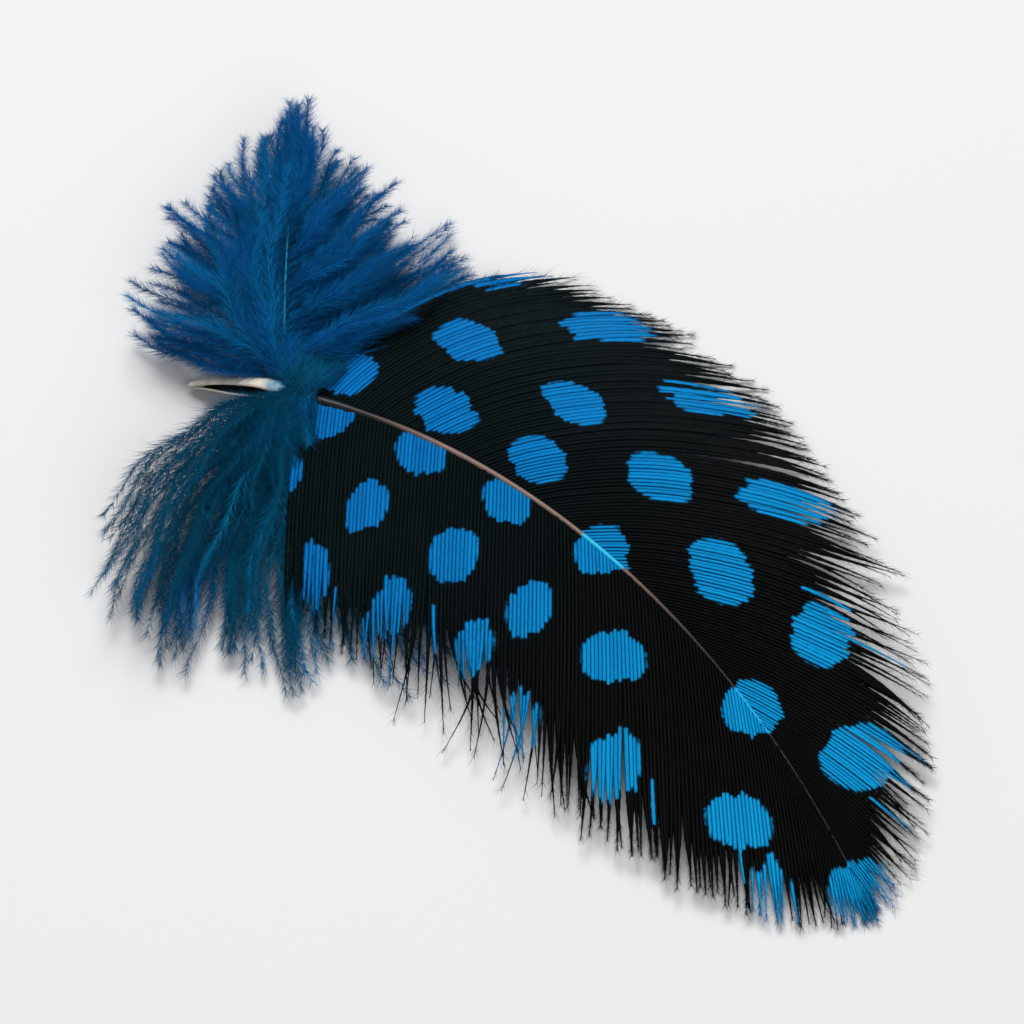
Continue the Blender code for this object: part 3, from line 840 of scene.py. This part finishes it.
def make_down(name, paths, blueness, material):
    """Downy barbs with their barbules, which are longest at the middle of each barb."""
    count = len(paths)
    chance = RANDOM.random(count)
    radii = DOWN_RAMUS_RADIUS * np.linspace(1.0, DOWN_RAMUS_TIP, paths.shape[1])
    rings = tubes(paths, np.broadcast_to(radii, paths.shape[:2]), DOWN_RAMUS_SIDES)
    points, faces = lofted(rings)
    each = rings.shape[2]
    along = np.tile(np.repeat(np.linspace(0.0, 1.0, paths.shape[1]), each), count)
    values = {
        "along": along,
        "outward": np.zeros(len(points)),
        "chance": np.repeat(chance, paths.shape[1] * each),
        "blueness": np.full(len(points), blueness),
    }
    place = np.sort(RANDOM.uniform(BARBULES_FROM, 1.0, (count, BARBULES)) ** BARBULE_CROWDING, 1)
    profile = SHORT_BARBULE + (1.0 - SHORT_BARBULE) * np.sin(math.pi * place**LONGEST_POWER)
    profile *= between(ROOT_BARBULE, 1.0, smooth(0.0, ROOT_REACH, place))
    length = BARBULE_LENGTH * profile * RANDOM.uniform(*BARBULE_LENGTHS, place.shape)
    lean = np.radians(RANDOM.normal(*BARBULE_LEAN, place.shape))
    curl = np.radians(RANDOM.normal(*BARBULE_CURL, place.shape))
    hair_points, hair_faces, outward = hairs(paths, place, length, lean, curl, BARBULE_ROLL, BARBULE_RADIUS)
    hair_values = {
        "along": both_kinds(place.reshape(-1)),
        "outward": outward,
        "chance": both_kinds(np.broadcast_to(chance[:, None], place.shape).reshape(-1)),
        "blueness": np.full(len(hair_points), blueness),
    }
    points, faces, values = merged([(points, faces, values), (hair_points, hair_faces, hair_values)])
    return mesh_piece(name, points, faces, values, material)


# The quill is a hollow tube whose end is split: a slit runs along its right side, between two lips. Angles
# there go round from the right side downwards.
SHAFT_SIDES = 16
SHAFT_POINTS = 170
QUILL_WALL = 0.24
QUILL_POINTS = 26
QUILL_ARC = 22
SLIT_END = 0.0080
SLIT_OPEN_BY = 0.0035
SLIT_CLOSING_FROM = 0.0052
SLIT_CLOSING = 0.97
SLIT_MIDDLE = math.radians(-38.0)
SLIT_WIDTH_AT_END = math.radians(9.0)
SLIT_WIDTH = math.radians(23.0)
LIP_SPLAY = 0.00022
LIP_SHARE = 0.10
CUT_SLANT = 0.0014
CUT_REACH = 0.004
RACHIS_START = 0.0068
RACHIS_THINNING = 0.68
RACHIS_SINKING = 0.30
RACHIS_CROWDING = 1.15
TIP_THINNING = 0.6
TIP_THINNING_FROM = 0.02
ON_SHAFT = 0.0012

# The aftershaft has the shaft's colour at this share of its length, inside a spot.
AFTERSHAFT_STATION = 0.16
AFTERSHAFT_SPOT = 0.6


def split_quill():
    """The quill's split end: rings of a C-shaped section, their stations and whether they are inside."""
    stations = np.linspace(0.0, SLIT_END, QUILL_POINTS)
    middle = shaft_points(stations)
    forward = tangents(middle)
    beside = unit(np.cross(forward, UP))
    downward = np.cross(forward, beside)
    opened = smooth(0.0, SLIT_OPEN_BY, stations)
    closed = SLIT_CLOSING * smooth(SLIT_CLOSING_FROM, SLIT_END, stations)
    gap = between(SLIT_WIDTH_AT_END, SLIT_WIDTH, opened) * (1.0 - closed)
    turns = np.linspace(0.0, 1.0, QUILL_ARC)[None, :]
    outer = SLIT_MIDDLE + gap[:, None] + turns * (2.0 * math.pi - 2.0 * gap[:, None])
    lip = LIP_SPLAY * np.sin(math.pi * stations / SLIT_END)[:, None] * np.exp(-((turns / LIP_SHARE) ** 2))
    radius = shaft_radius(stations)[:, None]
    reach = np.concatenate([radius + lip, (1.0 - QUILL_WALL) * radius + lip[:, ::-1]], 1)
    angle = np.concatenate([outer, outer[:, ::-1]], 1)
    slant = CUT_SLANT * (0.5 + 0.5 * np.sin(angle)) * clamped(1.0 - stations / CUT_REACH)[:, None]
    rings = middle[:, None] + (reach * np.cos(angle))[..., None] * beside[:, None]
    rings += (reach * np.sin(angle))[..., None] * downward[:, None] + slant[..., None] * forward[:, None]
    inside = np.repeat([0.0, 1.0], QUILL_ARC)
    return rings, np.repeat(stations, 2 * QUILL_ARC), np.tile(inside, QUILL_POINTS)


def make_shaft(material):
    """The hollow split quill, and the rachis that runs on from it, a little sunk between the barbs."""
    quill, quill_stations, inside = split_quill()
    quill_points, quill_faces = lofted(quill[None])
    quill_values = {
        "station": quill_stations / SHAFT_LENGTH,
        "spot": np.full(len(quill_points), FAR_FROM_SPOTS),
        "inside": inside,
    }
    stations = between(RACHIS_START, SHAFT_LENGTH, np.linspace(0.0, 1.0, SHAFT_POINTS) ** RACHIS_CROWDING)
    thin = between(1.0, RACHIS_THINNING, smooth(DOWN_START, VANE_START, stations))
    thinner = between(1.0, TIP_THINNING, smooth(TIP_THINNING_FROM, SHAFT_LENGTH, stations))
    radii = shaft_radius(stations) * thin * thinner
    sunk = RACHIS_SINKING * radii * smooth(DOWN_START, VANE_START, stations)
    middle = shaft_points(stations) - sunk[:, None] * UP
    points, faces = lofted(tubes(middle[None], radii[None], SHAFT_SIDES))
    spots = np.full(stations.shape, FAR_FROM_SPOTS)
    for side in (1, -1):
        for station, away, radius in spot_places(side):
            if away < ON_SHAFT:
                spots = np.minimum(spots, np.abs(stations - station) / radius)
    values = {
        "station": np.repeat(stations / SHAFT_LENGTH, SHAFT_SIDES),
        "spot": np.repeat(spots, SHAFT_SIDES),
        "inside": np.zeros(len(points)),
    }
    whole = merged([(quill_points, quill_faces, quill_values), (points, faces, values)])
    return mesh_piece("shaft", *whole, material)


def make_aftershaft(material):
    path = aftershaft_path()[None]
    radii = AFTERSHAFT_RADIUS * np.linspace(1.0, AFTERSHAFT_TIP, path.shape[1])[None]
    points, faces = lofted(tubes(path, radii, AFTERSHAFT_SIDES))
    values = {
        "station": np.full(len(points), AFTERSHAFT_STATION),
        "spot": np.full(len(points), AFTERSHAFT_SPOT),
        "inside": np.zeros(len(points)),
    }
    return mesh_piece("aftershaft", points, faces, values, material)


class Nodes:
    """A material's node tree, built one node at a time."""

    def __init__(self, name):
        self.material = bpy.data.materials.new(name)
        self.material.use_nodes = True
        self.tree = self.material.node_tree
        self.shader = self.tree.nodes["Principled BSDF"]

    def add(self, kind, settings=None, **inputs):
        node = self.tree.nodes.new(kind)
        for key, value in (settings or {}).items():
            setattr(node, key, value)
        for key, value in inputs.items():
            self.plug(node.inputs[key.replace("_", " ")], value)
        return node

    def plug(self, socket, value):
        if isinstance(value, bpy.types.NodeSocket):
            self.tree.links.new(value, socket)
        else:
            socket.default_value = value

    def value(self, name):
        """A value that the mesh carries at each of its points."""
        return self.add("ShaderNodeAttribute", {"attribute_name": name}).outputs["Fac"]

    def math(self, operation, first, second=0.0, third=0.0):
        node = self.tree.nodes.new("ShaderNodeMath")
        node.operation = operation
        for socket, value in zip(node.inputs, (first, second, third)):
            self.plug(socket, value)
        return node.outputs[0]

    def ramp(self, value, low, high, to_low=0.0, to_high=1.0):
        """A smooth step from to_low, where the value is low, to to_high."""
        settings = {"interpolation_type": "SMOOTHSTEP"}
        node = self.add("ShaderNodeMapRange", settings, Value=value, From_Min=low, From_Max=high)
        self.plug(node.inputs["To Min"], to_low)
        self.plug(node.inputs["To Max"], to_high)
        return node.outputs["Result"]

    def noise(self, scale, detail=3.0, stretch=(1.0, 1.0, 1.0)):
        """Noise over the object, in features a millimetre across for a scale of 1000."""
        place = self.add("ShaderNodeTexCoord").outputs["Object"]
        mapped = self.add("ShaderNodeMapping", Vector=place, Scale=stretch).outputs["Vector"]
        return self.add("ShaderNodeTexNoise", Vector=mapped, Scale=scale, Detail=detail).outputs["Fac"]

    def mix(self, share, first, second, blend="MIX"):
        node = self.tree.nodes.new("ShaderNodeMix")
        node.data_type = "RGBA"
        node.blend_type = blend
        self.plug(node.inputs["Factor"], share)
        self.plug(node.inputs[6], first)
        self.plug(node.inputs[7], second)
        return node.outputs[2]

    def bump(self, height, distance, strength=1.0):
        node = self.add("ShaderNodeBump", Height=height, Distance=distance, Strength=strength)
        self.plug(self.shader.inputs["Normal"], node.outputs["Normal"])

    def finish(self, color, roughness, specular, sheen=0.0, sheen_tint=(1.0, 1.0, 1.0, 1.0)):
        self.plug(self.shader.inputs["Base Color"], color)
        self.plug(self.shader.inputs["Roughness"], roughness)
        self.shader.inputs["Specular IOR Level"].default_value = specular
        self.shader.inputs["Sheen Weight"].default_value = sheen
        self.shader.inputs["Sheen Tint"].default_value = sheen_tint
        return self.material


# Colours are linear red, green, blue.
GROUND_AT_FOOT = (0.0008, 0.0062, 0.0072, 1.0)
GROUND_AT_TIP = (0.0014, 0.0014, 0.0018, 1.0)
RAMUS_TONE_AND_HIGHLIGHT = (0.0044, 0.0046, 0.0046, 1.0)
SPOT_AT_FOOT = (0.0010, 0.200, 0.600, 1.0)
SPOT_AT_TIP = (0.0020, 0.380, 0.800, 1.0)
SPOT_DARK_AND_GAP_SHADE = (0.0, 0.055, 0.180, 1.0)
BARBULE_STRIPES = 2.0 * math.pi / 0.075


def vane_material():
    nodes = Nodes("spotted_vane")
    chance = nodes.value("chance")
    station = nodes.value("station")
    across = nodes.value("across")
    ragged = nodes.math("MULTIPLY", nodes.math("SUBTRACT", nodes.noise(2600.0, 2.0), 0.5), 0.14)
    spot = nodes.ramp(nodes.math("ADD", nodes.value("spot"), ragged), 1.05, 0.95)
    ground = nodes.mix(nodes.ramp(station, 0.25, 0.70), GROUND_AT_FOOT, GROUND_AT_TIP)
    # Partly painted highlight: along each ramus the black ground is lightened towards a brownish grey. This is
    # partly the ramus's own tone and partly a painted highlight on its raised ridge.
    ground = nodes.mix(nodes.ramp(across, 0.30, 0.05, 0.0, 0.55), ground, RAMUS_TONE_AND_HIGHLIGHT)
    azure = nodes.mix(nodes.ramp(station, 0.15, 0.85), SPOT_AT_FOOT, SPOT_AT_TIP)
    # Painted shadow: inside a spot each ribbon's edges darken towards a deep blue, more so towards the tip.
    # This is partly painted shade in the gaps between barbs and partly the darker pigment where neighbours
    # overlap. The same deep blue also darkens some barbs at random, which is their own tone.
    gap_shade = nodes.ramp(across, 0.55, 0.95)
    gap_shade = nodes.math("MULTIPLY", gap_shade, nodes.ramp(station, 0.2, 0.6, 0.45, 0.85))
    azure = nodes.mix(gap_shade, azure, SPOT_DARK_AND_GAP_SHADE)
    azure = nodes.mix(nodes.math("MULTIPLY", chance, 0.25), azure, SPOT_DARK_AND_GAP_SHADE)
    stripes = nodes.math("SINE", nodes.math("MULTIPLY", nodes.value("length"), BARBULE_STRIPES))
    color = nodes.mix(spot, ground, azure)
    color = nodes.mix(nodes.ramp(stripes, -1.0, 1.0, 0.0, 0.16), color, (0.0, 0.0, 0.0, 1.0))
    roughness = nodes.ramp(nodes.noise(1400.0), 0.3, 0.7, 0.46, 0.60)
    nodes.bump(stripes, 0.000012, 0.5)
    return nodes.finish(color, roughness, 0.055)


DOWN_BLUE = (0.0004, 0.099, 0.360, 1.0)
DOWN_TEAL = (0.0004, 0.080, 0.162, 1.0)
DOWN_LIGHT = (0.0030, 0.310, 0.660, 1.0)
DOWN_DARK = (0.0, 0.020, 0.045, 1.0)
BLUENESS = {1: 0.6, -1: 0.0}
COVER_BLUENESS = 0.2
AFTER_BLUENESS = 1.0


def down_material():
    nodes = Nodes("blue_down")
    chance = nodes.value("chance")
    patches = nodes.math("MULTIPLY_ADD", nodes.value("blueness"), 0.35, nodes.noise(160.0, 2.0))
    color = nodes.mix(nodes.ramp(patches, 0.50, 0.75), DOWN_TEAL, DOWN_BLUE)
    color = nodes.mix(nodes.ramp(chance, 0.35, 0.0, 0.0, 0.62), color, DOWN_DARK)
    color = nodes.mix(nodes.ramp(chance, 0.75, 1.0, 0.0, 0.50), color, DOWN_LIGHT)
    color = nodes.mix(nodes.math("MULTIPLY", nodes.value("outward"), 0.30), color, DOWN_LIGHT)
    color = nodes.mix(nodes.ramp(nodes.value("along"), 0.0, 0.25, 0.45, 0.0), color, DOWN_DARK)
    return nodes.finish(color, 0.65, 0.08, 0.08, (0.05, 0.55, 0.85, 1.0))


QUILL_IVORY = (0.790, 0.730, 0.610, 1.0)
QUILL_SHADE = (0.420, 0.350, 0.260, 1.0)
QUILL_INSIDE_PAINTED_SHADE = (0.020, 0.014, 0.010, 1.0)
QUILL_DYED = (0.008, 0.260, 0.430, 1.0)
RACHIS_TAN = (0.200, 0.130, 0.105, 1.0)
RACHIS_DARK = (0.012, 0.010, 0.011, 1.0)
RACHIS_SPOT = (0.010, 0.480, 0.760, 1.0)


def shaft_material():
    nodes = Nodes("quill_and_rachis")
    station = nodes.value("station")
    streaks = nodes.noise(900.0, 3.0)
    ivory = nodes.mix(nodes.ramp(streaks, 0.42, 0.72, 0.0, 0.45), QUILL_IVORY, QUILL_SHADE)
    dye = nodes.math("MULTIPLY_ADD", nodes.math("SUBTRACT", streaks, 0.5), 0.05, station)
    color = nodes.mix(nodes.ramp(dye, 0.085, 0.112), ivory, QUILL_DYED)
    color = nodes.mix(nodes.ramp(dye, 0.112, 0.132), color, RACHIS_DARK)
    color = nodes.mix(nodes.ramp(station, 0.20, 0.34), color, RACHIS_TAN)
    color = nodes.mix(nodes.ramp(station, 0.50, 0.72), color, RACHIS_DARK)
    bright = nodes.mix(nodes.ramp(station, 0.60, 0.72), RACHIS_SPOT, SPOT_AT_TIP)
    color = nodes.mix(nodes.ramp(nodes.value("spot"), 1.05, 0.90), color, bright)
    # Painted shade: the inner wall of the hollow quill is painted near black for the shade inside the tube and
    # its slit.
    color = nodes.mix(nodes.ramp(nodes.value("inside"), 0.2, 0.8), color, QUILL_INSIDE_PAINTED_SHADE)
    nodes.bump(streaks, 0.00004, 0.4)
    return nodes.finish(color, nodes.ramp(streaks, 0.3, 0.7, 0.32, 0.46), 0.35)


def plain_material(name, color, roughness):
    nodes = Nodes(name)
    return nodes.finish(color, roughness, 0.3)


FLOOR_SIZE = 1.6
CAMERA_AZIMUTH = math.radians(40.0)
CAMERA_ELEVATION = math.radians(60.0)
CAMERA_DISTANCE = 0.46
CAMERA_LENS = 220.0
AIM = (-0.0019, 0.0025, 0.002)


def make_floor():
    mesh = bpy.data.meshes.new("floor")
    half = FLOOR_SIZE / 2
    corners = [(-half, -half, 0.0), (half, -half, 0.0), (half, half, 0.0), (-half, half, 0.0)]
    mesh.from_pydata(corners, [], [(0, 1, 2, 3)])
    mesh.materials.append(plain_material("pale_floor", (0.80, 0.80, 0.80, 1.0), 0.7))
    floor = bpy.data.objects.new("floor", mesh)
    bpy.context.scene.collection.objects.link(floor)


def aimed(thing, place):
    """Puts an object at a place and turns it to look at the feather's middle."""
    thing.location = place
    thing.rotation_euler = (Vector(AIM) - Vector(place)).to_track_quat("-Z", "Y").to_euler()
    bpy.context.scene.collection.objects.link(thing)
    return thing


def make_light(name, place, size, power):
    light = bpy.data.lights.new(name, "AREA")
    light.shape = "SQUARE"
    light.size = size
    light.energy = power
    return aimed(bpy.data.objects.new(name, light), place)


def make_camera():
    lens = bpy.data.cameras.new("camera")
    lens.lens = CAMERA_LENS
    lens.clip_start = 0.01
    flat = CAMERA_DISTANCE * math.cos(CAMERA_ELEVATION)
    place = (
        AIM[0] + flat * math.sin(CAMERA_AZIMUTH),
        AIM[1] - flat * math.cos(CAMERA_AZIMUTH),
        AIM[2] + CAMERA_DISTANCE * math.sin(CAMERA_ELEVATION),
    )
    bpy.context.scene.camera = aimed(bpy.data.objects.new("camera", lens), place)


def make_studio():
    make_floor()
    make_light("key", (-0.25, 0.20, 0.60), 0.35, 3.6)
    make_light("fill", (0.45, -0.25, 0.45), 0.50, 1.2)
    world = bpy.data.worlds.new("studio")
    world.use_nodes = True
    world.node_tree.nodes["Background"].inputs["Color"].default_value = (1.0, 1.0, 1.0, 1.0)
    world.node_tree.nodes["Background"].inputs["Strength"].default_value = 0.30
    bpy.context.scene.world = world
    bpy.context.scene.view_settings.view_transform = "Standard"


def main():
    vane = vane_material()
    down = down_material()
    shaft = shaft_material()
    make_shaft(shaft)
    make_aftershaft(shaft)
    make_vane_side(1, vane)
    make_vane_side(-1, vane)
    make_down("down_left", down_barbs(1), BLUENESS[1], down)
    make_down("down_right", down_barbs(-1), BLUENESS[-1], down)
    make_down("down_over_quill", cover_barbs(), COVER_BLUENESS, down)
    make_down("afterfeather_left", after_barbs(1, AFTER_BARBS), AFTER_BLUENESS, down)
    make_down("afterfeather_right", after_barbs(-1, AFTER_BARBS), AFTER_BLUENESS, down)
    make_studio()
    make_camera()


main()
